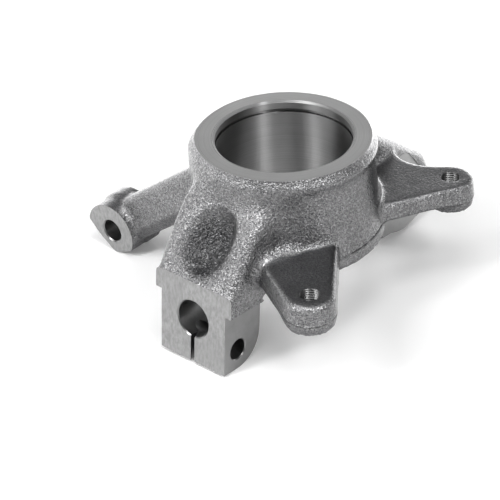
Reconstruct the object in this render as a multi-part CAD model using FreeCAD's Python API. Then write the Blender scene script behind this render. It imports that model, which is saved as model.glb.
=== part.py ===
import FreeCAD, Part
import math
import os

# Steering knuckle of a strut suspension: one iron casting with machined seats.
# Millimetres and degrees. +Z runs along the wheel axis, -Y towards the ball joint,
# +Y towards the strut, +X towards the brake caliper and -X towards the tie rod.
# Heights are set from the hub's outer face, where z is 0 until the finished casting
# is lifted so that the origin is the middle of the bearing seat.

V = FreeCAD.Vector

# Hub
bore_radius = 33.0
rim_radius = 41.5
hub_height = 50.5
bead_radius = 43.2
bead_depth = 3.6
waist_radius = 42.1
waist_depth = 8.0
parting_depth = 44.0
skirt_radius = 47.0
spigot_radius = 48.0
mouth_chamfer = 1.0
circlip_depth = 4.2
circlip_width = 1.9
circlip_groove = 1.5
shoulder_height = 5.0
shoulder_step = 3.5
shaft_clearance = 4.0
seat_depth = hub_height - shoulder_height
seat_middle = (circlip_depth + circlip_width + seat_depth) / 2

# Caliper ears
ear_top_depth = 35.0
ear_hole_circle = 82.0
ear_front_angle = -43.2
ear_rear_angle = 49.6
ear_boss_radius = 12.0
ear_boss_depth = 49.0
ear_draft = 0.8
ear_edge_round = 2.2
ear_root_round = 3.0
ear_hub_flare = 10.6
ear_web_flare = 14.5
ear_lug_flare = 16.0
ear_valley_reach = 22.0
ear_valley_radius = 16.0
ear_lug_root = 69.0
ear_lug_lap = 2.0
thread_core = 8.7
thread_mouth = 9.6

# Ball joint clamp, in its own tilted frame
pin_radius = 9.4
pin_drop = 66.6
pin_face_reach = 70.6
pin_tilt = 6.0
clamp_width = 40.0
clamp_cast_width = 47.0
clamp_depth = 25.0
clamp_below_pin = 23.4
clamp_above_pin = 19.0
clamp_side_above_pin = 9.0
clamp_root_above_pin = 12.0
clamp_heel_radius = 15.5
clamp_slit = 2.4
pinch_radius = 5.2
pinch_setback = 9.7
pinch_below_pin = 12.7

# Web between hub and clamp
web_top_drop = 2.0
web_knee_reach = 44.5
web_knee_drop = 14.5
web_knee_radius = 7.0
web_left_flare = 2.5
web_edge_round = 4.0
web_root_round = 3.0

# Dimple in the web, wider at its top than at its foot
dimple_top_setback = 3.0
dimple_foot_setback = 3.5
dimple_top_left = 12.5
dimple_top_right = 13.5
dimple_foot_left = 8.5
dimple_foot_right = 9.5
dimple_depth = 5.0
dimple_wall_lean = 4.5
dimple_corner_radius = 7.0

# Tie rod arm
tie_face_reach = 24.5
tie_reach = 99.7
tie_drop = 81.0
tie_hole_radius = 6.0
tie_boss_radius = 15.6
tie_boss_outset = 1.1
tie_boss_sag = 0.9
tie_boss_length = 21.0
tie_collar_setback = 10.6
tie_collar_rise = 1.3
tie_flat_angle = 229.5
tie_flat_offset = 9.3
tie_sole_angle = 293.0
tie_sole_offset = 12.3
tie_keel_round = 3.0
arm_slope = 37.0
arm_width = 18.0
arm_recess = 3.0
arm_top = 11.6
arm_parting = -5.2
arm_foot = -11.2
arm_lean = 3.5
arm_foot_lean = 2.0
arm_top_round = 4.0
arm_foot_round = 2.0
arm_root_round = 4.0

# Drop of the strut lug's foot below the outer face, level with the clamp's heel
rest_drop = 91.0

# Strut lug
lug_face = 16.0
lug_width = 26.0
lug_slope = 36.9
lug_root_drop = 3.3
lug_crest_reach = 96.0
lug_crest_radius = 14.0
lug_tip_run = 9.0
lug_tip_rise = 21.0
lug_tip_radius = 12.0
lug_toe_run = 4.0
lug_toe_rise = 4.5
lug_toe_radius = 10.0
lug_foot_run = 10.0
lug_foot_radius = 12.0
lug_step_reach = 66.0
lug_step_rise = 3.5
lug_step_radius = 2.0
lug_heel_setback = 7.5
lug_heel_rise = 4.0
lug_throat_reach = 42.0
lug_throat_drop = 68.0
lug_throat_radius = 8.0
lug_edge_round = 6.0
lug_root_round = 5.0
lug_pad_depth = 1.0
lug_pad_near = 46.0
lug_pad_low_drop = 51.0
lug_pad_step_reach = 70.0
lug_pad_top_drop = 41.0
lug_pad_top_reach = 79.0
lug_pad_outer_drop = 74.0
lug_hole_radius = 6.1
lug_hole_near = 58.0
lug_hole_near_drop = 66.0
lug_hole_far_setback = 5.0
lug_hole_far_drop = 71.0
lug_crest_drop = lug_root_drop + (lug_crest_reach - bore_radius) * math.tan(math.radians(lug_slope))
lug_tip_reach = lug_crest_reach + lug_tip_run
lug_tip_drop = rest_drop - lug_tip_rise
lug_toe_reach = lug_crest_reach + lug_toe_run
lug_toe_drop = rest_drop - lug_toe_rise
lug_foot_reach = lug_step_reach + lug_foot_run
lug_step_drop = rest_drop - lug_step_rise
lug_heel_reach = lug_step_reach - lug_heel_setback
lug_heel_drop = rest_drop - lug_heel_rise
lug_hole_far = lug_crest_reach - lug_hole_far_setback


def unit(angle):
    """Level direction at an angle about the wheel axis."""
    turn = math.radians(angle)
    return V(math.cos(turn), math.sin(turn), 0)


def meet(point, along, other, across):
    """Where two level lines cross, each given by a point and a direction."""
    turn = along.x * across.y - along.y * across.x
    gap = other - point
    return point + along * ((gap.x * across.y - gap.y * across.x) / turn)


def rounded_outline(corners, place):
    """Closed wire through corners (u, v, radius), each corner rounded by its radius."""
    count = len(corners)
    joints = []
    for i in range(count):
        here = V(corners[i][0], corners[i][1], 0)
        before = V(corners[i - 1][0], corners[i - 1][1], 0) - here
        after = V(corners[(i + 1) % count][0], corners[(i + 1) % count][1], 0) - here
        before.normalize()
        after.normalize()
        radius = corners[i][2]
        half = before.getAngle(after) / 2
        bisector = (before + after).normalize()
        run = radius / math.tan(half)
        middle = here + bisector * (radius / math.sin(half) - radius)
        joints.append((radius, here + before * run, middle, here + after * run))
    edges = []
    for i in range(count):
        radius, start, middle, end = joints[i]
        if radius > 0:
            arc = Part.Arc(place(start), place(middle), place(end))
            edges.append(arc.toShape())
        following = joints[(i + 1) % count][1]
        if end.distanceToPoint(following) > 1e-4:
            edges.append(Part.LineSegment(place(end), place(following)).toShape())
    return Part.Wire(edges)


def level(z):
    """Place for plans: u is X and v is Y."""
    return lambda p: V(p.x, p.y, z)


def upright(x):
    """Place for side outlines: u is Y and v is Z."""
    return lambda p: V(x, p.x, p.y)


def prism(wire, travel):
    """Solid swept straight from a flat wire."""
    return Part.Face(wire).extrude(travel)


def middle_of(edge):
    """Point halfway along an edge."""
    return edge.valueAt((edge.FirstParameter + edge.LastParameter) / 2)


def cylinder(radius, start, end):
    """Round bar from start to end."""
    return Part.makeCylinder(radius, (end - start).Length, start, end - start)


def wall_radius(drop):
    """Radius of the hub's drafted wall at a depth below its outer face."""
    draft = (skirt_radius - waist_radius) / (parting_depth - waist_depth)
    return waist_radius + (drop - waist_depth) * draft


def post(bottom):
    """The drafted wall alone, as a plain cone from the outer face down to a depth."""
    return Part.makeCone(wall_radius(0), wall_radius(bottom), bottom, V(0, 0, 0), V(0, 0, -1))


def turned(outline):
    """Solid turned round the wheel axis from a closed wire in the XZ plane."""
    return Part.Face(outline).revolve(V(0, 0, 0), V(0, 0, 1), 360)


def hub():
    """Drafted body with a cast bead at its rim and a spigot below the parting plane."""
    rim = rounded_outline([
        (rim_radius, 0, 0), (bead_radius, -bead_depth, 0), (waist_radius, -waist_depth, 0),
        (bore_radius, -waist_depth, 0), (bore_radius, 0, 0)], lambda p: V(p.x, 0, p.y))
    spigot = Part.makeCylinder(spigot_radius, hub_height - parting_depth, V(0, 0, -hub_height))
    return post(parting_depth).fuse([turned(rim), spigot])


def blended(limb, radius, bottom):
    """A limb with the hub's wall above a level, joined by a fillet along their seam."""
    wall = post(2 * rest_drop) if bottom > parting_depth else post(bottom)
    joined = wall.fuse(limb)
    seam = []
    for edge in joined.Edges:
        spot = Part.Vertex(middle_of(edge))
        on_both = max(body.Shells[0].distToShape(spot)[0] for body in (wall, limb)) < 1e-3
        if on_both and edge.BoundBox.ZMax > 1e-3 - bottom:
            seam.append(edge)
    size = 4 * rest_drop
    above = Part.makeBox(size, size, bottom, V(-size / 2, -size / 2, -bottom))
    return joined.makeFillet(radius, seam).common(above)


def ear_outline(angle, first_flare, second_flare, radius):
    """Feet and tip corners of an ear's plan: two sides that touch the boss circle."""
    hole = unit(angle) * ear_hole_circle
    tip = hole + unit(angle) * radius
    across = unit(angle + 90)
    corners = []
    for side, flare in ((-1, first_flare), (1, second_flare)):
        along = unit(angle + 180 - side * flare)
        touch = hole + unit(angle + side * (90 - flare)) * radius
        foot = meet(touch, along, V(0, 0, 0), V(-along.y, along.x, 0))
        corner = meet(touch, along, tip, across)
        corners.append((foot, corner, along, touch))
    return corners


def front_ear_plan(shrink, z):
    """Plan of the ear beside the clamp."""
    radius = ear_boss_radius - shrink
    web_side, hub_side = ear_outline(ear_front_angle, ear_web_flare, ear_hub_flare, radius)
    return rounded_outline([
        (web_side[0].x, web_side[0].y, 0), (web_side[1].x, web_side[1].y, radius),
        (hub_side[1].x, hub_side[1].y, radius), (hub_side[0].x, hub_side[0].y, 0)], level(z))


def rear_ear_plan(shrink, z):
    """Plan of the ear beside the strut lug, with a hollow far side."""
    radius = ear_boss_radius - shrink
    hub_side, lug_side = ear_outline(ear_rear_angle, ear_hub_flare, ear_lug_flare, radius)
    valley = lug_side[3] + lug_side[2] * ear_valley_reach
    return rounded_outline([
        (hub_side[0].x, hub_side[0].y, 0), (hub_side[1].x, hub_side[1].y, radius),
        (lug_side[1].x, lug_side[1].y, radius), (valley.x, valley.y, ear_valley_radius + shrink),
        (lug_face - ear_lug_lap, ear_lug_root - shrink, 0)], level(z))


def ear_plate(plan):
    """Upper half of an ear: a drafted plate with a rounded top edge."""
    plate = Part.makeLoft([plan(ear_draft, -ear_top_depth), plan(0, -parting_depth)], True, True)
    rims = [e for e in plate.Edges if all(abs(v.Z + ear_top_depth) < 1e-3 for v in e.Vertexes)
            and max(math.hypot(v.X, v.Y) for v in e.Vertexes) > skirt_radius]
    return plate.makeFillet(ear_edge_round, rims)


def front_ear_foot():
    """Lower half of the ear beside the clamp, drafted down from the parting plane."""
    return Part.makeLoft([
        front_ear_plan(0, -parting_depth), front_ear_plan(ear_draft, -ear_boss_depth)], True, True)


def rear_ear_boss():
    """Round boss below the thinner ear beside the strut lug."""
    top = unit(ear_rear_angle) * ear_hole_circle - V(0, 0, parting_depth)
    return Part.makeCone(ear_boss_radius, ear_boss_radius - ear_draft,
                         ear_boss_depth - parting_depth, top, V(0, 0, -1))


def clamp_frame():
    """Frame on the clamp's machined face: X across, Y along the pin, Z up the face."""
    return FreeCAD.Placement(V(0, -pin_face_reach, -pin_drop), FreeCAD.Rotation(V(1, 0, 0), -pin_tilt))


def in_clamp(y, z):
    """Height and reach in the casting's frame of a point given in the clamp's frame."""
    point = clamp_frame().multVec(V(0, y, z))
    return (point.y, point.z)


def clamp_block():
    """Cast block round the ball joint pin, rounded at its heel."""
    outline = rounded_outline([
        (0, -clamp_below_pin, 0), (clamp_depth, -clamp_below_pin, clamp_heel_radius),
        (clamp_depth, clamp_side_above_pin, 0), (0, clamp_above_pin, 0)],
        upright(-clamp_cast_width / 2))
    block = prism(outline, V(clamp_cast_width, 0, 0))
    block.Placement = clamp_frame()
    return block


def on_slope(edge):
    """True for an edge that runs down the web's upper side."""
    ends = sorted(edge.Vertexes, key=lambda v: v.Y)
    return ends[1].Z - ends[0].Z > web_knee_drop and ends[0].Y > -pin_face_reach + 1


def web(deep):
    """Broad sloping web from the hub's waist to the clamp, narrower at the clamp.

    A deep web runs straight down instead of ending in its own underside.
    """
    half = clamp_cast_width / 2
    crest_y, crest_z = in_clamp(0, clamp_above_pin)
    face_y, face_z = in_clamp(0, 0)
    heel_y, heel_z = in_clamp(clamp_depth, clamp_root_above_pin)
    top = [(0, -web_top_drop, 0), (-web_knee_reach, -web_knee_drop, web_knee_radius),
           (crest_y, crest_z, 0)]
    underside = [(face_y, face_z, 0), (heel_y, heel_z, 0), (-bore_radius, -parting_depth, 0),
                 (0, -parting_depth, 0)]
    if deep:
        underside = [(crest_y, -2 * rest_drop, 0), (0, -2 * rest_drop, 0)]
    side = rounded_outline(top + underside, upright(-2 * half))
    slab = prism(side, V(4 * half, 0, 0))
    plan = rounded_outline([
        (half, 0, 0), (half, -2 * pin_face_reach, 0), (-half, -2 * pin_face_reach, 0),
        (-half, -pin_face_reach, 0), (-half - web_left_flare, -rim_radius / 2, 0),
        (-half - web_left_flare, 0, 0)], level(0))
    body = slab.common(prism(plan, V(0, 0, -2 * rest_drop)))
    flanks = [e for e in body.Edges if len(e.Vertexes) == 2 and on_slope(e) and abs(middle_of(e).x) > half - 1]
    return body.makeFillet(web_edge_round, flanks)


def arm_bar():
    """Straight six-sided bar up from the boss: rounded above, sharp at the parting line."""
    turn = math.radians(arm_slope)
    along = V(math.cos(turn), 0, math.sin(turn))
    rise = V(-math.sin(turn), 0, math.cos(turn))
    half = arm_width / 2
    base = V(-tie_reach, arm_recess + half - tie_face_reach, -tie_drop)
    section = rounded_outline([
        (-half, arm_parting, 0), (-half + arm_lean, arm_top, arm_top_round),
        (half - arm_lean, arm_top, arm_top_round), (half, arm_parting, 0),
        (half - arm_foot_lean, arm_foot, arm_foot_round), (-half + arm_foot_lean, arm_foot, arm_foot_round)],
        lambda p: base + V(0, p.x, 0) + rise * p.y)
    return prism(section, along * ((tie_reach - bore_radius) / math.cos(turn)))


def tie_boss():
    """Boss with a collar round its rear, its centre outside the hole's, flattened below."""
    face = V(-tie_reach, -tie_face_reach, -tie_drop)
    centre = face - V(tie_boss_outset, 0, tie_boss_sag)
    rear = centre + V(0, tie_boss_length, 0)
    collar = cylinder(tie_boss_radius + tie_collar_rise, centre + V(0, tie_collar_setback, 0), rear)
    boss = cylinder(tie_boss_radius, centre, rear).fuse(collar)
    size = 4 * tie_boss_radius
    for angle, offset in ((tie_flat_angle, tie_flat_offset), (tie_sole_angle, tie_sole_offset)):
        turn = math.radians(angle)
        waste = Part.makeBox(size, size, size, V(-size / 2, -size / 2, offset))
        waste.Placement = FreeCAD.Placement(
            face, FreeCAD.Rotation(V(0, 0, 1), V(math.cos(turn), 0, math.sin(turn))))
        boss = boss.cut(waste)
    boss = boss.removeSplitter()
    keel = min(boss.Edges, key=lambda e: middle_of(e).z + abs(e.Length - tie_boss_length))
    return boss.makeFillet(tie_keel_round, [keel])


def tie_arm():
    """Arm that drops from the hub to the tie rod boss."""
    return arm_bar().fuse(tie_boss())


def strut_lug(deep):
    """Sloping arm that ends in the flat lug for the strut's two bolts, soft-edged on top.

    A deep lug runs straight down instead of ending in its own underside.
    """
    back = lug_face - lug_width
    top = [(bore_radius, -lug_root_drop, 0), (lug_crest_reach, -lug_crest_drop, lug_crest_radius),
           (lug_tip_reach, -lug_tip_drop, lug_tip_radius), (lug_toe_reach, -lug_toe_drop, lug_toe_radius)]
    underside = [
        (lug_foot_reach, -rest_drop, lug_foot_radius), (lug_step_reach, -lug_step_drop, lug_step_radius),
        (lug_heel_reach, -lug_heel_drop, 0), (lug_throat_reach, -lug_throat_drop, lug_throat_radius),
        (lug_throat_reach, -hub_height, 0), (bore_radius, -hub_height, 0)]
    if deep:
        underside = [(lug_heel_reach, -2 * rest_drop, 0), (bore_radius, -2 * rest_drop, 0)]
    lug = prism(rounded_outline(top + underside, upright(back)), V(lug_width, 0, 0))
    half = lug_width / 2
    rims = []
    for edge in lug.Edges:
        spot = middle_of(edge)
        on_cheek = abs(abs(spot.x - back - half) - half) < 1e-3
        upper = spot.z > -lug_toe_drop + lug_edge_round and spot.y > lug_throat_reach + lug_throat_radius
        if on_cheek and upper:
            rims.append(edge)
    return lug.makeFillet(lug_edge_round, rims)


def casting():
    """Hub and limbs as one body, with a fillet where each limb leaves the hub."""
    arm = tie_arm()
    roots = [
        blended(web(True), web_root_round, hub_height), blended(arm, arm_root_round, hub_height),
        blended(strut_lug(True), lug_root_round, hub_height)]
    for plan in (front_ear_plan, rear_ear_plan):
        roots.append(blended(ear_plate(plan), ear_root_round, parting_depth))
    limbs = [web(False), arm, strut_lug(False), clamp_block(), front_ear_foot(), rear_ear_boss()]
    return hub().fuse(roots + limbs)


def dimple_outline(shrink, depth):
    """Outline of the dimple at a depth below the web's slope."""
    crest_y, crest_z = in_clamp(0, clamp_above_pin)
    knee = V(0, -web_knee_reach, -web_knee_drop)
    run = V(0, crest_y, crest_z) - knee
    length = run.Length
    along = run / length
    sink = V(0, along.z, -along.y) * -depth
    radius = dimple_corner_radius - shrink / 2
    top = dimple_top_setback + shrink
    foot = length - dimple_foot_setback - shrink
    return rounded_outline([
        (-dimple_top_left + shrink, top, radius), (dimple_top_right - shrink, top, radius),
        (dimple_foot_right - shrink, foot, radius), (-dimple_foot_left + shrink, foot, radius)],
        lambda p: knee + V(p.x, 0, 0) + along * p.y + sink)


def dimple():
    """Shallow hollow in the web's slope, with leaning walls."""
    return Part.makeLoft([
        dimple_outline(-dimple_wall_lean, -dimple_depth), dimple_outline(dimple_wall_lean, dimple_depth)],
        True, True)


def hub_bore():
    """Bearing bore with mouth chamfer, circlip groove, end shoulder and shaft clearance."""
    shaft_radius = bore_radius - shoulder_step
    seat = Part.makeCylinder(bore_radius, seat_depth, V(0, 0, -seat_depth))
    mouth = Part.makeCone(bore_radius, bore_radius + mouth_chamfer, mouth_chamfer, V(0, 0, -mouth_chamfer))
    groove = Part.makeCylinder(bore_radius + circlip_groove, circlip_width,
                               V(0, 0, -circlip_depth - circlip_width))
    shaft = Part.makeCylinder(shaft_radius, hub_height, V(0, 0, -hub_height))
    below = Part.makeCylinder(bore_radius + shaft_clearance, rest_drop, V(0, 0, -hub_height - rest_drop))
    return seat.fuse([mouth, groove, shaft, below])


def clamp_machining():
    """Side flats, pin bore, slit and pinch bolt hole of the clamp."""
    run_out = 3.0
    half = clamp_width / 2
    through = clamp_depth + 2 * run_out
    flat_width = (clamp_cast_width - clamp_width) / 2 + run_out
    flat_height = clamp_below_pin + clamp_side_above_pin + run_out
    tools = []
    for start in (-half - flat_width, half):
        tools.append(Part.makeBox(flat_width, through, flat_height,
                                  V(start, -run_out, clamp_side_above_pin - flat_height)))
    tools.append(cylinder(pin_radius, V(0, -run_out, 0), V(0, through - run_out, 0)))
    tools.append(Part.makeBox(clamp_slit, through, clamp_below_pin + run_out,
                              V(-clamp_slit / 2, -run_out, -clamp_below_pin - run_out)))
    tools.append(cylinder(pinch_radius, V(-clamp_cast_width, pinch_setback, -pinch_below_pin),
                          V(clamp_cast_width, pinch_setback, -pinch_below_pin)))
    cutter = tools[0].fuse(tools[1:])
    cutter.Placement = clamp_frame()
    return cutter


def thread_hole(angle):
    """Tapped hole through an ear, chamfered at its mouth."""
    top = unit(angle) * ear_hole_circle - V(0, 0, ear_top_depth)
    chamfer = (thread_mouth - thread_core) / 2
    core = cylinder(thread_core / 2, top, top - V(0, 0, hub_height))
    mouth = Part.makeCone(thread_mouth / 2, thread_core / 2, chamfer, top, V(0, 0, -1))
    return core.fuse(mouth)


def bolt_hole(y, drop):
    """Through hole in the strut lug."""
    return cylinder(lug_hole_radius, V(lug_face - 2 * lug_width, y, -drop), V(lug_face + lug_width, y, -drop))


def strut_pad():
    """Milled recess in the lug's outer side, for the cheek of the strut's fork."""
    bottom = rest_drop + lug_edge_round
    outline = rounded_outline([
        (lug_pad_near, -bottom, 0), (lug_pad_near, -lug_pad_low_drop, 0),
        (lug_pad_step_reach, -lug_pad_low_drop, 0), (lug_pad_step_reach, -lug_pad_top_drop, 0),
        (lug_pad_top_reach, -lug_pad_top_drop, lug_crest_radius / 2),
        (lug_toe_reach, -lug_pad_outer_drop, lug_toe_radius),
        (lug_toe_reach, -bottom, 0)], upright(lug_face - lug_pad_depth))
    return prism(outline, V(2 * lug_pad_depth, 0, 0))


def machining():
    """Everything that is cut after casting."""
    tie = V(-tie_reach, 0, -tie_drop)
    tie_hole = cylinder(tie_hole_radius, tie - V(0, 2 * tie_face_reach, 0), tie + V(0, tie_boss_length, 0))
    return [
        hub_bore(), clamp_machining(), thread_hole(ear_front_angle), thread_hole(ear_rear_angle), tie_hole,
        bolt_hole(lug_hole_near, lug_hole_near_drop), bolt_hole(lug_hole_far, lug_hole_far_drop),
        strut_pad()]


os.makedirs("parts", exist_ok=True)
knuckle = casting().cut([dimple()] + machining())
knuckle.translate(V(0, 0, seat_middle))
knuckle.Solids[0].exportStep("parts/knuckle_casting.step")
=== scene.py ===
import math
import bmesh
import bpy
import numpy as np
from mathutils import Matrix, Vector, noise


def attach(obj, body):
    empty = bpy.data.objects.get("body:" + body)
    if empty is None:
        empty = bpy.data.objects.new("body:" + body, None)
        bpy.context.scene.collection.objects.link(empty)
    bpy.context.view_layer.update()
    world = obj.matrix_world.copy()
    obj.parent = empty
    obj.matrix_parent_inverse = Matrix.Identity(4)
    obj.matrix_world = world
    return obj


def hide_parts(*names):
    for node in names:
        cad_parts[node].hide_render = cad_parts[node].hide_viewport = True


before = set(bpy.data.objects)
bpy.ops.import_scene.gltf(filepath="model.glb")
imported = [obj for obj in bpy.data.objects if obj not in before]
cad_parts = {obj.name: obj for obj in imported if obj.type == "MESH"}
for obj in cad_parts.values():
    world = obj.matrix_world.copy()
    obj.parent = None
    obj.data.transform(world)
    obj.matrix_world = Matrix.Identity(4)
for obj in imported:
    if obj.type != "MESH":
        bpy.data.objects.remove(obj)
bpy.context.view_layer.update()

# Steering knuckle, one iron casting with machined seats. The plain casting is remeshed into a
# sand-cast body with soft blends and grain, and every machined face, bore and thread is cut into it
# again, sharp. Sizes are in millimetres and degrees. Heights run from the hub's outer face, where
# z is 0, and at() turns a point into the frame's metres, from the middle of the bearing seat.

LIFT = 25.8

UP = Vector((0, 0, 1))
ALONG_X = Vector((1, 0, 0))
ALONG_Y = Vector((0, 1, 0))
# level direction from the camera to what lies behind the part
BACKDROP = (-0.669, 0.743, 0)


def at(x, y, z):
    """Point in the frame's metres."""
    return Vector((x, y, z + LIFT)) / 1000


# Camera, fitted to the photograph: the focal length and the place of the hub face's centre in its
# frame, and the distance to that centre

FRAME_PIXELS = 500
FOCAL_PIXELS = 1650.0
CENTRE_PIXEL = (283.74, 134.89)
CENTRE_DEPTH = 780.63
AZIMUTH, ELEVATION, ROLL = 42.0, 34.17, -2.97
SENSOR = 36


def make_camera():
    a, e, r = (math.radians(angle) for angle in (AZIMUTH, ELEVATION, ROLL))
    right = Vector((math.cos(a), math.sin(a), 0))
    back = Vector((math.sin(a) * math.cos(e), -math.cos(a) * math.cos(e), math.sin(e)))
    up = back.cross(right)
    side = right * math.cos(r) + up * math.sin(r)
    top = up * math.cos(r) - right * math.sin(r)
    across, down = ((pixel - FRAME_PIXELS / 2) / FOCAL_PIXELS * CENTRE_DEPTH for pixel in CENTRE_PIXEL)
    eye = back * CENTRE_DEPTH - side * across + top * down
    camera = bpy.data.cameras.new("camera")
    camera.sensor_width = SENSOR
    camera.lens = SENSOR * FOCAL_PIXELS / FRAME_PIXELS
    camera.clip_start, camera.clip_end = 0.05, 20
    thing = new_object("camera", camera)
    turn = Matrix((side, top, back)).transposed().to_4x4()
    thing.matrix_world = Matrix.Translation(at(*eye)) @ turn
    bpy.context.scene.camera = thing


# Simple bodies

def new_object(name, data):
    thing = bpy.data.objects.new(name, data)
    bpy.context.scene.collection.objects.link(thing)
    return thing


def bm_object(name, bm):
    """Object from a bmesh, which is used up."""
    mesh = bpy.data.meshes.new(name)
    bmesh.ops.recalc_face_normals(bm, faces=bm.faces)
    bm.to_mesh(mesh)
    bm.free()
    return new_object(name, mesh)


def finished(name, bm, finish):
    """Object from a bmesh, with one finish on all its faces."""
    for face in bm.faces:
        face.material_index = finish
    return bm_object(name, bm)


def lathe(name, start, axis, stations, finish):
    """Closed body round an axis, from (distance along the axis, radii round the turn) in mm."""
    bm = bmesh.new()
    axis = axis.normalized()
    side = axis.orthogonal().normalized()
    other = axis.cross(side)
    rings = []
    for along, radii in stations:
        centre = start + axis * (along / 1000)
        ring = []
        for i, radius in enumerate(radii):
            t = 2 * math.pi * i / len(radii)
            ring.append(bm.verts.new(centre + (side * math.cos(t) + other * math.sin(t)) * (radius / 1000)))
        rings.append(ring)
    for low, high in zip(rings, rings[1:]):
        for i in range(len(low)):
            j = (i + 1) % len(low)
            bm.faces.new((low[i], low[j], high[j], high[i]))
    bm.faces.new(rings[0][::-1])
    bm.faces.new(rings[-1])
    return finished(name, bm, finish)


def turned(profile, start, axis, segments=128, finish=0):
    """Closed round body, from (distance along the axis, radius) in mm."""
    stations = [(along, [radius] * segments) for along, radius in profile]
    return lathe("turned", start, axis, stations, finish)


def block(low, high, place, finish=0):
    """Box between two corners in mm, in a placing matrix's own axes."""
    bm = bmesh.new()
    made = bmesh.ops.create_cube(bm, size=1)
    low, high = Vector(low), Vector(high)
    for v in made["verts"]:
        inside = Vector([low[k] + (v.co[k] + 0.5) * (high[k] - low[k]) for k in range(3)])
        v.co = place @ (inside / 1000)
    return finished("block", bm, finish)


def raise_faces(bm, step):
    """Turns flat faces into a closed body by moving a copy of them."""
    grown = bmesh.ops.extrude_face_region(bm, geom=list(bm.faces), use_keep_orig=True)
    for item in grown["geom"]:
        if isinstance(item, bmesh.types.BMVert):
            item.co += step


def slab(outline, x, thickness, finish=0):
    """Upright plate from x to x + thickness, with its outline given as (y, z) in mm."""
    bm = bmesh.new()
    bm.faces.new([bm.verts.new(at(x, y, z)) for y, z in outline])
    raise_faces(bm, ALONG_X * (thickness / 1000))
    return finished("slab", bm, finish)


def baked(thing):
    """The object's mesh with its modifiers applied; the object and its old mesh go."""
    graph = bpy.context.evaluated_depsgraph_get()
    mesh = bpy.data.meshes.new_from_object(thing.evaluated_get(graph))
    bpy.data.objects.remove(thing)
    return mesh


# Sizes of the machined places, as in the plain casting

BORE_RADIUS = 33.0
BORE_CHAMFER = 1.0
CIRCLIP_TOP, CIRCLIP_FOOT, CIRCLIP_GROOVE = 4.2, 6.1, 1.5
SEAT_DEPTH, HUB_HEIGHT = 45.5, 50.5
SHAFT_RADIUS, JOINT_RADIUS = 29.5, 37.0

PIN_REACH, PIN_DROP, PIN_TILT = 70.6, 66.6, 6.0
PIN_RADIUS, PIN_CHAMFER = 9.4, 0.6
CLAMP_HALF, CLAMP_DEPTH, CLAMP_SIDE_TOP = 20.0, 25.0, 9.0
SLIT_HALF = 1.2
PINCH_RADIUS, PINCH_CHAMFER = 5.2, 0.5
PINCH_SETBACK, PINCH_DROP = 9.7, -12.7

TIE_X, TIE_FACE, TIE_Z = -99.7, -24.5, -81.0
TIE_RADIUS, TIE_CHAMFER = 6.0, 0.6

EAR_CIRCLE, EAR_ANGLES, EAR_TOP = 82.0, (-43.2, 49.6), -35.0
THREAD_CORE, THREAD_MOUTH, THREAD_PITCH, THREAD_DEPTH = 4.35, 4.8, 1.25, 0.62
THREAD_LENGTH = 18

PAD_X = 15
BOLT_RADIUS = 6.1
BOLTS = ((58.0, -66.0), (91.0, -71.0))
PAD_OUTLINE = ((46, -97), (46, -51), (70, -51), (70, -41), (76, -41), (80, -43), (98, -66), (100, -72),
               (100, -97))

PARTING = -44.0

# The clamp's own axes start at the pin bore's mouth, with y along the bore
CLAMP = Matrix.Translation(at(0, -PIN_REACH, -PIN_DROP)) @ Matrix.Rotation(math.radians(-PIN_TILT), 4, "X")
PIN_AXIS = (CLAMP.to_3x3() @ ALONG_Y).normalized()
EARS = []
for angle in EAR_ANGLES:
    EARS.append(Vector((math.cos(math.radians(angle)), math.sin(math.radians(angle)), 0)) * EAR_CIRCLE)


def clamp_point(x, y, z):
    return CLAMP @ (Vector((x, y, z)) / 1000)


# Casting stock: metal on the machined places, so that the remeshed casting is cut there and not rounded

STOCK_LAP = 0.6
STOCK_PLUG = 7.3


def stock_on(cad, point, normal, height, reach=1.0):
    """Prism of stock over the plain casting's faces that lie in a plane, within reach in metres."""
    bm = bmesh.new()
    bm.from_mesh(cad)
    bmesh.ops.remove_doubles(bm, verts=bm.verts, dist=2e-6)
    keep = set()
    for face in bm.faces:
        offset = face.calc_center_median() - point
        if face.normal.dot(normal) > 0.999 and abs(offset.dot(normal)) < 2e-5 and offset.length < reach:
            keep.add(face)
    bmesh.ops.delete(bm, geom=[face for face in bm.faces if face not in keep], context="FACES")
    for v in bm.verts:
        v.co -= normal * (STOCK_LAP / 1000)
    raise_faces(bm, normal * ((height + STOCK_LAP) / 1000))
    return bm_object("stock", bm)


def stock_pieces(cad):
    """Stock on each machined face, and a plug in each hole, the slit included."""
    pieces = [
        stock_on(cad, at(0, 0, 0), UP, 3, 0.05),
        stock_on(cad, clamp_point(0, 0, 0), -PIN_AXIS, 3),
        stock_on(cad, at(CLAMP_HALF, -60, -75), ALONG_X, 3.5),
        stock_on(cad, at(-CLAMP_HALF, -60, -75), -ALONG_X, 3.5),
        stock_on(cad, at(TIE_X, TIE_FACE, TIE_Z), -ALONG_Y, 3, 0.03),
        stock_on(cad, at(PAD_X, 74, -66), ALONG_X, 1),
        turned([(0, 36), (56, 36)], at(0, 0, 3), -UP),
        turned([(0, 11), (26, 11)], clamp_point(0, -2, 0), PIN_AXIS),
        block((-1.8, -2.5, -23.2), (1.8, 24, 0), CLAMP),
        turned([(0, 6), (46, 6)], clamp_point(-23, PINCH_SETBACK, PINCH_DROP), ALONG_X),
        turned([(0, STOCK_PLUG), (26.4, STOCK_PLUG)], at(TIE_X, -27, TIE_Z), ALONG_Y),
    ]
    for spot in EARS:
        pieces.append(turned([(0, 6.5), (13.0, 6.5)], at(spot.x, spot.y, EAR_TOP - 0.6), -UP))
    for y, z in BOLTS:
        pieces.append(turned([(0, STOCK_PLUG), (25.6, STOCK_PLUG)], at(-9.8, y, z), ALONG_X))
    return pieces


# Cast skin

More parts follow.
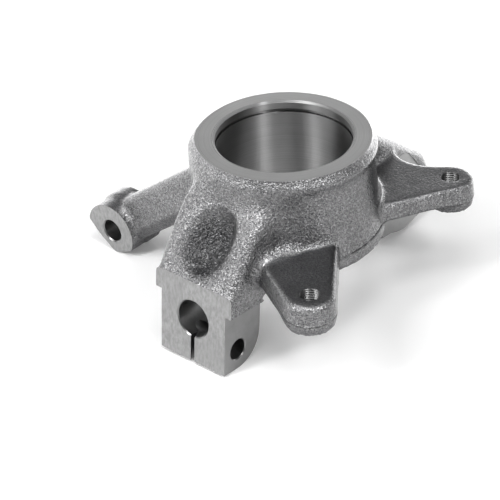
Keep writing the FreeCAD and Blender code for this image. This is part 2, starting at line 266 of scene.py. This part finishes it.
# soft lumps of the skin: (x, y, z, radius, height)
LUMPS = (
    # front ear's boss
    (62.5, -58.5, -44, 9, 1.2),
    (56, -62, -44, 8, 1.0),
    # hub above the arm
    (-31, -29, -14, 12, 1.5),
    (-35, -22, -14, 12, 1.2),
    # web's right and left edges
    (27, -43, -24, 9, 1.8),
    (-26, -41, -20, 9, -1.6),
    # tie rod boss, at its foot
    (-111, -24, -89, 7, 1.3),
)
# broad blends of the web with the hub and the front ear: (x, y, z, radius)
BLENDS = (
    (27, -36, -26, 13),
    (26, -44, -38, 11),
    (24, -32, -12, 12),
    (-27, -32, -14, 13),
    (0, -42, -10, 14),
    (12, -41, -10, 12),
    (-12, -41, -10, 12),
)
# knee of the web, where it leaves the hub
KNEE = ((0, -43, -13, 12), (16, -40, -13, 12), (-16, -40, -13, 12))
VOXEL = 1.1

BEAD_DROP, BEAD_HEIGHT = 5.5, 1.7
BEAD_SPREAD_ABOVE, BEAD_SPREAD_BELOW = 3.2, 10
BEAD_INNER, BEAD_OUTER = 38, 50

DIMPLE_TOP, DIMPLE_FOOT = (0, -44.5, -14.5), (0, -68.6, -47.7)
DIMPLE_DEPTH = 10.0
DIMPLE_HALF_WIDTH, DIMPLE_HALF_LENGTH, DIMPLE_MIDDLE = 13.4, 18, 20
DIMPLE_RIM = ((0, -56, -31, 24),)

# uneven skin of a sand casting: (size of the waves, height)
WAVES = ((14, 0.16), (5, 0.06), (2.2, 0.05))


def skin(mesh):
    """Places and normals of the mesh's points."""
    points, normals = np.empty(len(mesh.vertices) * 3), np.empty(len(mesh.vertices) * 3)
    mesh.vertices.foreach_get("co", points)
    mesh.vertices.foreach_get("normal", normals)
    return points.reshape(-1, 3), normals.reshape(-1, 3)


def put_skin(mesh, points):
    mesh.vertices.foreach_set("co", points.ravel())
    mesh.update()


def neighbours_mean(points, edges, count):
    """Middle of each point's neighbours."""
    total = np.zeros_like(points)
    for k in range(3):
        first = np.bincount(edges[:, 0], points[edges[:, 1], k], len(points))
        second = np.bincount(edges[:, 1], points[edges[:, 0], k], len(points))
        total[:, k] = first + second
    return total / count[:, None]


def soften(mesh, rounds, convex, share=0.6):
    """Rounds the hollows by a share, given for all points or each, and the edges by convex times it."""
    edges = np.empty(len(mesh.edges) * 2, dtype=np.int64)
    mesh.edges.foreach_get("vertices", edges)
    edges = edges.reshape(-1, 2)
    count = np.maximum(np.bincount(edges.ravel(), minlength=len(mesh.vertices)), 1)
    for _ in range(rounds):
        points, normals = skin(mesh)
        step = neighbours_mean(points, edges, count) - points
        eased = np.where((step * normals).sum(1) > 0, share, share * convex)
        put_skin(mesh, points + step * eased[:, None])


def near_spots(mesh, spots):
    """Share from 0 to 1 of each point by its nearness to round spots, each (x, y, z, radius)."""
    points, _ = skin(mesh)
    share = np.zeros(len(points))
    for x, y, z, radius in spots:
        gap = np.sqrt(((points - np.array(at(x, y, z))) ** 2).sum(1)) * 1000
        share = np.maximum(share, np.clip((radius - gap) / (0.4 * radius), 0, 1))
    return share


def swell(mesh, lumps):
    """Pushes soft lumps out of the skin, each (x, y, z, radius, height)."""
    points, normals = skin(mesh)
    for x, y, z, radius, height in lumps:
        gap = ((points - np.array(at(x, y, z))) ** 2).sum(1) * 1e6
        points += normals * (height / 1000 * np.exp(-gap / radius ** 2))[:, None]
    put_skin(mesh, points)


def swell_bead(mesh):
    """Fuller bead round the hub, just below its turned face."""
    points, _ = skin(mesh)
    radius = np.hypot(points[:, 0], points[:, 1]) * 1000
    rise = points[:, 2] * 1000 - LIFT + BEAD_DROP
    spread = np.where(rise > 0, BEAD_SPREAD_ABOVE, BEAD_SPREAD_BELOW)
    outside = (radius > BEAD_INNER) * (radius < BEAD_OUTER)
    full = BEAD_HEIGHT * np.exp(-(rise / spread) ** 2) * outside
    points[:, :2] *= (1 + full / np.maximum(radius, 1))[:, None]
    put_skin(mesh, points)


def ripple(mesh):
    """Soft waves and a faint grain all over the skin."""
    points, normals = skin(mesh)
    moved = np.empty(len(points))
    for i, p in enumerate(points * 1000):
        moved[i] = sum(noise.noise(Vector(p) / size) * height for size, height in WAVES)
    put_skin(mesh, points + normals * (moved / 1000)[:, None])


def press_dimple(mesh):
    """Turns the web's dimple into an oval bowl, steep on its right, with a lump and a curly floor."""
    points, _ = skin(mesh)
    top, foot = np.array(at(*DIMPLE_TOP)), np.array(at(*DIMPLE_FOOT))
    along = (foot - top) / np.linalg.norm(foot - top)
    out = np.array([0, along[2], -along[1]])
    rel = (points - top) * 1000
    # u runs across the web, v down its slope and w out of it
    u, v, w = rel[:, 0], rel @ along, rel @ out
    # the oval leans to the left and narrows towards its foot
    across = (u - 1.2 + 0.09 * v) / (DIMPLE_HALF_WIDTH - 0.07 * np.clip(v - 6, 0, 40))
    down = (v - DIMPLE_MIDDLE) / DIMPLE_HALF_LENGTH
    reach = (np.abs(across) ** 2.4 + np.abs(down) ** 2.4) ** (1 / 2.4)
    bowl = np.clip(1 - reach ** 2, 0, 1) ** (1.15 - 0.35 * across) * (1 + 0.3 * across)
    lump = 2.2 * np.exp(-((u - 3.0) ** 2 + (v - 24) ** 2) / 12)
    near = np.flatnonzero((np.abs(w) < 14) & (np.abs(u) < 15) & (v > 1) & (v < 39.5))
    for i in near:
        curl = noise.noise(Vector((u[i], v[i], 0)) / 5) * 4
        wrinkle = noise.noise(Vector((u[i] + curl, v[i] - curl, 3)) / 2.8) * 0.9 * bowl[i]
        sunk = -DIMPLE_DEPTH * bowl[i] + lump[i] * bowl[i] + wrinkle
        level = sunk if reach[i] < 1 else max(w[i], -0.2)
        points[i] += out * ((level - w[i]) / 1000)
    put_skin(mesh, points)


def cast_body():
    """Voxel copy of the plain casting with its stock, softened, swollen and rippled."""
    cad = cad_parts["knuckle_casting"].data
    bm = bmesh.new()
    bm.from_mesh(cad)
    for piece in stock_pieces(cad):
        bm.from_mesh(piece.data)
        bpy.data.objects.remove(piece)
    body = bm_object("casting", bm)
    remesh = body.modifiers.new("remesh", "REMESH")
    remesh.mode = "VOXEL"
    remesh.voxel_size = VOXEL / 1000
    mesh = baked(body)
    soften(mesh, 8, 0.04)
    soften(mesh, 110, 0.35, 0.6 * near_spots(mesh, BLENDS))
    soften(mesh, 50, 1.0, 0.6 * near_spots(mesh, KNEE))
    swell_bead(mesh)
    press_dimple(mesh)
    soften(mesh, 4, 1.0, 0.5 * near_spots(mesh, DIMPLE_RIM))
    swell(mesh, LUMPS)
    ripple(mesh)
    return mesh


# Machining

CAST, TURNED, MILLED, FLAT, DRILLED, THREAD, PAD, BORED = range(8)


def drill(radius, chamfer, depth, start, axis, segments, overrun):
    """Cutter for a through hole, with a chamfer at both its mouths."""
    mouth = radius + chamfer
    profile = [(-3, mouth + 3), (0, mouth), (chamfer, radius), (depth - chamfer, radius), (depth, mouth),
               (depth + overrun, mouth + overrun)]
    return turned(profile, start, axis, segments, DRILLED)


def thread_radius(along, turn):
    """Radius of the tapped hole at a depth and a share of a turn: V grooves, with a chamfer above."""
    groove = THREAD_CORE
    if along > THREAD_MOUTH - THREAD_CORE:
        phase = (along / THREAD_PITCH - turn) % 1
        groove += THREAD_DEPTH * (1 - abs(2 * phase - 1))
    return max(groove, THREAD_MOUTH - max(along, 0))


def tap(start, segments=48, steps=8):
    """Cutter for a tapped hole: a helix of grooves round a core."""
    stations = []
    for k in range(-steps, int(THREAD_LENGTH / THREAD_PITCH * steps) + 1):
        along = k * THREAD_PITCH / steps
        stations.append((along, [thread_radius(along, i / segments) for i in range(segments)]))
    return lathe("thread", start, -UP, stations, THREAD)


def hub_cutters():
    """Turned face, and the bearing seat with its circlip groove and end shoulder."""
    groove = BORE_RADIUS + CIRCLIP_GROOVE
    mouth = BORE_RADIUS + BORE_CHAMFER
    profile = [(-2, mouth), (0, mouth), (BORE_CHAMFER, BORE_RADIUS),
               (CIRCLIP_TOP, BORE_RADIUS), (CIRCLIP_TOP, groove), (CIRCLIP_FOOT, groove),
               (CIRCLIP_FOOT, BORE_RADIUS), (SEAT_DEPTH, BORE_RADIUS), (SEAT_DEPTH, SHAFT_RADIUS),
               (HUB_HEIGHT, SHAFT_RADIUS), (HUB_HEIGHT, JOINT_RADIUS), (100, JOINT_RADIUS)]
    return [
        turned(profile, at(0, 0, 0), -UP, 256, BORED),
        block((-60, -60, 0), (60, 60, 12), Matrix.Translation(at(0, 0, 0)), TURNED),
    ]


def clamp_cutters():
    """Milled front and sides, slit, pin bore and pinch bolt hole, in the clamp's own axes."""
    pinch_start = clamp_point(-CLAMP_HALF, PINCH_SETBACK, PINCH_DROP)
    return [
        block((-40, -12, -40), (40, 0, 40), CLAMP, MILLED),
        block((CLAMP_HALF, -20, -30), (40, 40, CLAMP_SIDE_TOP), CLAMP, FLAT),
        block((-40, -20, -30), (-CLAMP_HALF, 40, CLAMP_SIDE_TOP), CLAMP, FLAT),
        block((-SLIT_HALF, -4.6, -31), (SLIT_HALF, 33, -1), CLAMP, FLAT),
        drill(PIN_RADIUS, PIN_CHAMFER, CLAMP_DEPTH, clamp_point(0, 0, 0), PIN_AXIS, 128, 4),
        drill(PINCH_RADIUS, PINCH_CHAMFER, 2 * CLAMP_HALF, pinch_start, ALONG_X, 96, 3),
    ]


def tie_cutters():
    """Milled face of the tie rod boss and its bore, chamfered at that face."""
    mouth = TIE_RADIUS + TIE_CHAMFER
    profile = [(-3, mouth + 3), (0, mouth), (TIE_CHAMFER, TIE_RADIUS), (40, TIE_RADIUS)]
    return [
        block((-130, -40, -110), (-70, TIE_FACE, -60), Matrix.Translation(at(0, 0, 0)), MILLED),
        turned(profile, at(TIE_X, TIE_FACE, TIE_Z), ALONG_Y, 96, DRILLED),
    ]


def strut_cutters():
    """Milled pad of the strut lug and its two bolt holes."""
    made = [slab(PAD_OUTLINE, PAD_X, 6, PAD)]
    for y, z in BOLTS:
        made.append(turned([(-4, BOLT_RADIUS), (29, BOLT_RADIUS)], at(-12, y, z), ALONG_X, 96, DRILLED))
    return made


def cutters():
    """Closed cutter bodies, each with the finish that its tool leaves."""
    threads = [tap(at(spot.x, spot.y, EAR_TOP)) for spot in EARS]
    return hub_cutters() + clamp_cutters() + tie_cutters() + threads + strut_cutters()


def machined(mesh, materials):
    """The casting with every cutter taken out of it."""
    body = new_object("knuckle", mesh)
    mesh.materials.clear()
    for material in materials:
        mesh.materials.append(material)
    for tool in cutters():
        for material in materials:
            tool.data.materials.append(material)
        cut = body.modifiers.new("cut", "BOOLEAN")
        cut.operation = "DIFFERENCE"
        cut.solver = "EXACT"
        cut.object = tool
        graph = bpy.context.evaluated_depsgraph_get()
        result = bpy.data.meshes.new_from_object(body.evaluated_get(graph))
        body.modifiers.clear()
        body.data = result
        bpy.data.objects.remove(tool)
    return body


def shade(body, sliver=3e-6, turn=0.5):
    """Smooth skin without slivers, with creases where a machined face begins or turns."""
    mesh = body.data
    bm = bmesh.new()
    bm.from_mesh(mesh)
    bmesh.ops.remove_doubles(bm, verts=bm.verts, dist=sliver)
    bmesh.ops.dissolve_degenerate(bm, edges=bm.edges, dist=sliver)
    for face in bm.faces:
        face.smooth = True
    for edge in bm.edges:
        if len(edge.link_faces) != 2:
            continue
        one, two = (face.material_index for face in edge.link_faces)
        both_machined = one != CAST and two != CAST
        edge.smooth = not (one != two or (both_machined and edge.calc_face_angle(0) > turn))
    bm.to_mesh(mesh)
    bm.free()


# Materials

class Nodes:
    """Short way to add and link the shader nodes of a material or a world."""

    def __init__(self, owner, shader):
        owner.use_nodes = True
        self.owner = owner
        self.tree = owner.node_tree
        self.shader = self.tree.nodes[shader]

    def put(self, socket, value):
        """Links a socket to another node's, or sets it to a plain value."""
        if isinstance(value, bpy.types.NodeSocket):
            self.tree.links.new(value, socket)
        else:
            socket.default_value = value

    def add(self, kind, *inputs, **values):
        """Node with its first sockets set in turn, and its properties or further sockets by name."""
        node = self.tree.nodes.new("ShaderNode" + kind)
        for name, value in values.items():
            if hasattr(node, name):
                setattr(node, name, value)
            else:
                self.put(node.inputs[name], value)
        for socket, value in zip(node.inputs, inputs):
            self.put(socket, value)
        return node

    def calc(self, operation, *inputs):
        return self.add("Math", *inputs, operation=operation).outputs[0]

    def compare(self, operation, first, second):
        """Number worked out from two vectors, such as their distance."""
        return self.add("VectorMath", first, second, operation=operation).outputs["Value"]

    def noise(self, vector, scale, detail=2.0, roughness=0.5, distortion=0.0):
        node = self.add("TexNoise", vector, Scale=scale, Detail=detail, Roughness=roughness,
                        Distortion=distortion)
        return node.outputs["Fac"]

    def spread(self, source, low, high, first=0.0, last=1.0, interpolation="LINEAR"):
        """Number that goes from first to last while the source goes from low to high."""
        node = self.add("MapRange", source, low, high, first, last, interpolation_type=interpolation)
        return node.outputs["Result"]

    def choose(self, factor, first, second):
        """Number between two others."""
        node = self.add("Mix")
        for index, value in ((0, factor), (2, first), (3, second)):
            self.put(node.inputs[index], value)
        return node.outputs[0]

    def mix(self, factor, first, second):
        """Colour between two others."""
        node = self.add("Mix", data_type="RGBA")
        for index, value in ((0, factor), (6, first), (7, second)):
            self.put(node.inputs[index], value)
        return node.outputs[2]

    def bump(self, height, distance, strength=1.0, below=None):
        """Normal with bumps of a height, over the normal below."""
        node = self.add("Bump", Strength=strength, Distance=distance, Height=height)
        if below is not None:
            self.put(node.inputs["Normal"], below)
        return node.outputs["Normal"]

    def shaded(self, **values):
        """Sets the shader's own sockets, with _ for a space, and gives back the material or world."""
        for name, value in values.items():
            self.put(self.shader.inputs[name.replace("_", " ")], value)
        return self.owner


def material_nodes(name):
    return Nodes(bpy.data.materials.new(name), "Principled BSDF")


def grey(level, cool=0.0):
    return (level, level, level + cool, 1)


def parting_line(n, where):
    """Thin line on the right of the casting where its two moulds met."""
    place = n.add("SeparateXYZ", where).outputs
    gap = n.calc("ABSOLUTE", n.calc("SUBTRACT", place["Z"], at(0, 0, PARTING).z))
    return n.calc("MULTIPLY", n.spread(gap, 0.0001, 0.0006, 1.0, 0.0), n.spread(place["X"], 0.026, 0.028))


def cast_iron():
    """Blasted cast skin: sandy grain with dark pits, calmer on level tops and on the back, and painted
    shade in the web's dimple, on level tops and on faces turned down.
    """
    n = material_nodes("cast_iron")
    where = n.add("TexCoord").outputs["Object"]
    facing = n.add("SeparateXYZ", n.add("NewGeometry").outputs["Normal"]).outputs
    coarse = n.noise(where, 880, 1, 0.5, 0.6)
    fine = n.noise(where, 1900, 0)
    patch = n.noise(where, 55, 3, 0.55)
    curls = n.noise(where, 450, 1, 0.5, 1.8)
    # mask of the web's dimple, for its curls and its painted shade
    hollow = n.spread(n.compare("DISTANCE", where, at(-0.5, -56.5, -36)), 0.011, 0.018, 1.0, 0.0)
    parted = parting_line(n, where)
    flash = n.calc("MULTIPLY", parted, n.spread(n.noise(where, 160, 1), 0.42, 0.5))

    # painted shade: a dark grey that stands in for shade in the dimple, on level tops and under the casting
    painted_shade = grey(0.06, 0.003)
    tone = n.mix(n.spread(patch, 0.35, 0.65), grey(0.178, 0.003), grey(0.218, 0.003))
    tone = n.mix(n.spread(coarse, 0.4, 0.7, 0.0, 0.75), tone, grey(0.385))
    tone = n.mix(n.spread(fine, 0.48, 0.7, 0.0, 0.8), tone, grey(0.065, 0.005))
    # painted shade in the web's dimple
    tone = n.mix(n.spread(hollow, 0.0, 1.0, 0.0, 0.4), tone, painted_shade)
    # painted shade on level tops
    tone = n.mix(n.spread(facing["Z"], 0.9, 0.985, 0.0, 0.68), tone, painted_shade)
    # painted shade on faces turned down
    tone = n.mix(n.spread(facing["Z"], -0.25, -0.03, 0.6, 0.0), tone, painted_shade)
    tone = n.mix(n.spread(flash, 0.0, 1.0, 0.0, 0.7), tone, grey(0.03))

    roughness = n.calc("MULTIPLY", n.spread(coarse, 0.3, 0.7, 0.42, 0.3),
                       n.spread(facing["Y"], 0.0, 0.4, 1.0, 0.4))
    calm = n.calc("MINIMUM", n.spread(facing["Z"], 0.7, 0.97, 1.0, 0.3),
                  n.spread(facing["Y"], 0.0, 0.4, 1.0, 0.15))
    normal = n.bump(curls, 0.003, hollow)
    normal = n.bump(parted, 0.0008, below=normal)
    normal = n.bump(coarse, 0.0007, calm, normal)
    normal = n.bump(fine, 0.00018, calm, normal)
    return n.shaded(Base_Color=tone, Roughness=roughness, Metallic=1.0, Normal=normal)


def tool_marked(n, marks, broad, level, contrast, worn):
    """Grey of a cut face: its tool marks lighter and darker, with duller patches."""
    tone = n.mix(n.spread(marks, 0.35, 0.65), grey(level * (1 - contrast)), grey(level * (1 + contrast)))
    return n.mix(n.spread(broad, 0.35, 0.7, 0.0, 0.5), tone, grey(level * worn))


def machined_iron(name, level, roughness, streak, height, contrast=0.12):
    """Bright cut iron: streak is the stretch of the noise that draws its tool marks."""
    n = material_nodes(name)
    where = n.add("TexCoord").outputs["Object"]
    stretch = n.add("Mapping", vector_type="POINT", Vector=where, Scale=streak)
    marks = n.noise(stretch.outputs["Vector"], 1.0, 3, 0.6)
    tone = tool_marked(n, marks, n.noise(where, 60), level, contrast, 0.85)
    rough = n.spread(marks, 0.3, 0.7, roughness - 0.06, roughness + 0.08)
    return n.shaded(Base_Color=tone, Roughness=rough, Metallic=1.0, Normal=n.bump(marks, height))


def turned_iron(name, level, rough, brushed):
    """Turned rings: marks run round the wheel axis, on the face and down the bore."""
    n = material_nodes(name)
    where = n.add("TexCoord").outputs["Object"]
    place = n.add("SeparateXYZ", where).outputs
    squares = [n.calc("MULTIPLY", place[axis], place[axis]) for axis in ("X", "Y")]
    radius = n.calc("SQRT", n.calc("ADD", *squares))
    marks = n.noise(n.add("CombineXYZ", X=radius, Z=place["Z"]).outputs[0], 2600, 2, 0.6)
    tone = tool_marked(n, marks, n.noise(where, 40, 3), level, 0.12, 0.8)
    if brushed:
        round_axis = n.add("Tangent", direction_type="RADIAL", axis="Z").outputs[0]
        n.shaded(Anisotropic=0.97, Anisotropic_Rotation=0.25, Tangent=round_axis)
    return n.shaded(Base_Color=tone, Roughness=n.spread(marks, 0.3, 0.7, *rough), Metallic=1.0,
                    Normal=n.bump(marks, 0.00006))


def make_materials():
    """The finishes, in the order of their numbers."""
    return [
        cast_iron(),
        turned_iron("turned_face", 0.39, (0.26, 0.36), False),
        machined_iron("milled_face", 0.29, 0.36, (700, 700, 300), 0.00009, 0.2),
        machined_iron("milled_flat", 0.24, 0.34, (900, 120, 120), 0.00005),
        machined_iron("drilled_bore", 0.22, 0.34, (200, 200, 200), 0.00005),
        machined_iron("cut_thread", 0.12, 0.35, (200, 200, 200), 0.00002),
        machined_iron("milled_pad", 0.35, 0.36, (900, 120, 120), 0.00005),
        turned_iron("bored_seat", 0.26, (0.44, 0.5), True),
    ]


# Stage

# the casting stands on its tie rod boss, clamp heel and strut lug: the floor rises from boss to heel
FLOOR_RISE, FLOOR_RUN = 2.5, 119
FLOOR_POINT = (-99, 0, -93.55)
FLOOR_RADIUS = 4
FLOOR_GLOW = 0.13

# area lamps: (name, place, target, size) in metres and power in watts
LAMPS = (
    ("left", (-0.8, -1.02, 0.62), (0, 0, 0), (0.7, 0.8), 6),
    ("streak", (-0.3, -0.98, 1.0), (0, 0, 0), (0.24, 0.7), 10.5),
    ("top", (0.28, -0.3, 1.3), (0, 0, 0), (0.5, 0.4), 5),
    ("right", (1.1, -0.26, 1.0), (0, 0, 0), (0.24, 0.7), 10.5),
    ("back", (-0.92, 1.16, 0.14), (0, 0, 0.02), (1.2, 0.16), 3),
)


def make_floor():
    """Pale studio floor, a little brighter to the eye, and with a bright sweep behind for the metal."""
    bm = bmesh.new()
    bmesh.ops.create_circle(bm, cap_ends=True, segments=96, radius=FLOOR_RADIUS)
    floor = bm_object("floor", bm)
    tilt = Matrix.Rotation(-math.atan2(FLOOR_RISE, FLOOR_RUN), 4, "Y")
    floor.matrix_world = Matrix.Translation(at(*FLOOR_POINT)) @ tilt
    n = material_nodes("floor_white")
    path = n.add("LightPath").outputs
    behind = n.compare("DOT_PRODUCT", n.add("NewGeometry").outputs["Position"], BACKDROP)
    sweep = n.calc("MULTIPLY", n.spread(behind, 0.06, 0.2, 0.2, 1.8), path["Is Glossy Ray"])
    glow = n.calc("MULTIPLY_ADD", path["Is Camera Ray"], FLOOR_GLOW, sweep)
    white = n.shaded(Base_Color=grey(0.9), Roughness=0.35, Specular_IOR_Level=0.3,
                     Emission_Color=grey(1.0), Emission_Strength=glow)
    floor.data.materials.append(white)


def make_world(diffuse=0.3, high=0.1, front=0.15):
    """White to the eye. Metal sees a dim room overhead and in front, and bright sweeps around it."""
    world = bpy.data.worlds.new("studio")
    bpy.context.scene.world = world
    n = Nodes(world, "Background")
    path = n.add("LightPath").outputs
    ray = n.add("TexCoord").outputs["Generated"]

    def fade(direction, *levels):
        return n.spread(n.compare("DOT_PRODUCT", ray, direction), *levels, "SMOOTHSTEP")

    room = n.calc("MULTIPLY", fade(UP, 0.3, 0.8, 1.0, high), fade(BACKDROP, 0.2, 0.75, front, 1.0))
    low_sweep = n.calc("MULTIPLY_ADD", fade(UP, 0.05, 0.3, 1.8, 0.0), fade(BACKDROP, -0.1, 0.4, 0.0, 1.0),
                       room)
    all_sweeps = n.calc("ADD", fade(UP, 0.75, 0.9, 0.0, 1.9), low_sweep)
    seen_by_metal = n.choose(path["Is Glossy Ray"], diffuse, all_sweeps)
    strength = n.choose(path["Is Camera Ray"], seen_by_metal, 1.0)
    n.shaded(Color=grey(1.0), Strength=strength)


def lamp(name, place, target, size, power):
    light = bpy.data.lights.new(name, "AREA")
    light.shape = "RECTANGLE"
    light.size, light.size_y = size
    light.energy = power
    thing = new_object(name, light)
    thing.location = place
    thing.visible_camera = False
    thing.rotation_mode = "QUATERNION"
    thing.rotation_quaternion = (Vector(target) - Vector(place)).to_track_quat("-Z", "Y")


# The scene

make_camera()
knuckle = machined(cast_body(), make_materials())
shade(knuckle)
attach(knuckle, "root")
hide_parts("knuckle_casting")

make_floor()
make_world()
for values in LAMPS:
    lamp(*values)

bpy.context.scene.view_settings.view_transform = "Standard"
print("triangles", sum(len(p.vertices) - 2 for p in knuckle.data.polygons))
